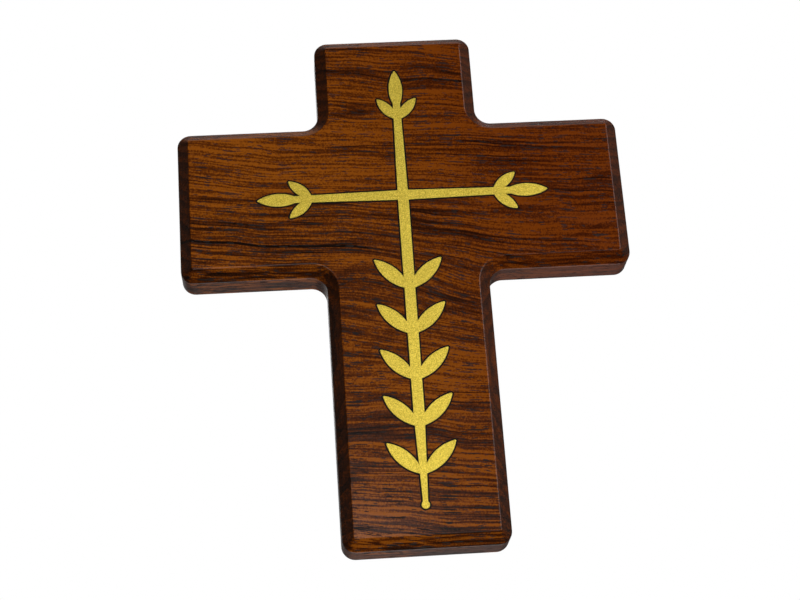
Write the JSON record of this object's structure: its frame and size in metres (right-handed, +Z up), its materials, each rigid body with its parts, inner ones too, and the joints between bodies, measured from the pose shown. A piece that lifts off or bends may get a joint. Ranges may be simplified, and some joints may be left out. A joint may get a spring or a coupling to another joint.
{
  "type": "wall cross",
  "caption": "Latin cross cut from one chamfered hardwood board, with a flush brass inlay of a slim cross and leafy sprig, and a keyhole hanger plate let into the back.",
  "frame": {"origin": "centre of the hanger plate's entry hole, on the back face", "axes": "+Z up the shaft, +X to the right as the front is seen, +Y out of the back face towards the wall, so the inlaid front face looks along -Y"},
  "size_m": [0.2, 0.0192, 0.24],
  "materials": {
    "hardwood": "satin oil, grain across the arms and the shaft",
    "brass": "fine blasted satin",
    "bedding": "dark filled epoxy",
    "plate_steel": "zinc plated, dull",
    "screw_steel": "yellow passivated zinc"
  },
  "bodies": {
    "root": {"cross_body": "hardwood", "inlay_bedding": "bedding", "brass_inlay": "brass", "hanger_plate": "plate_steel", "hanger_screws": "screw_steel"}
  },
  "joints": []
}
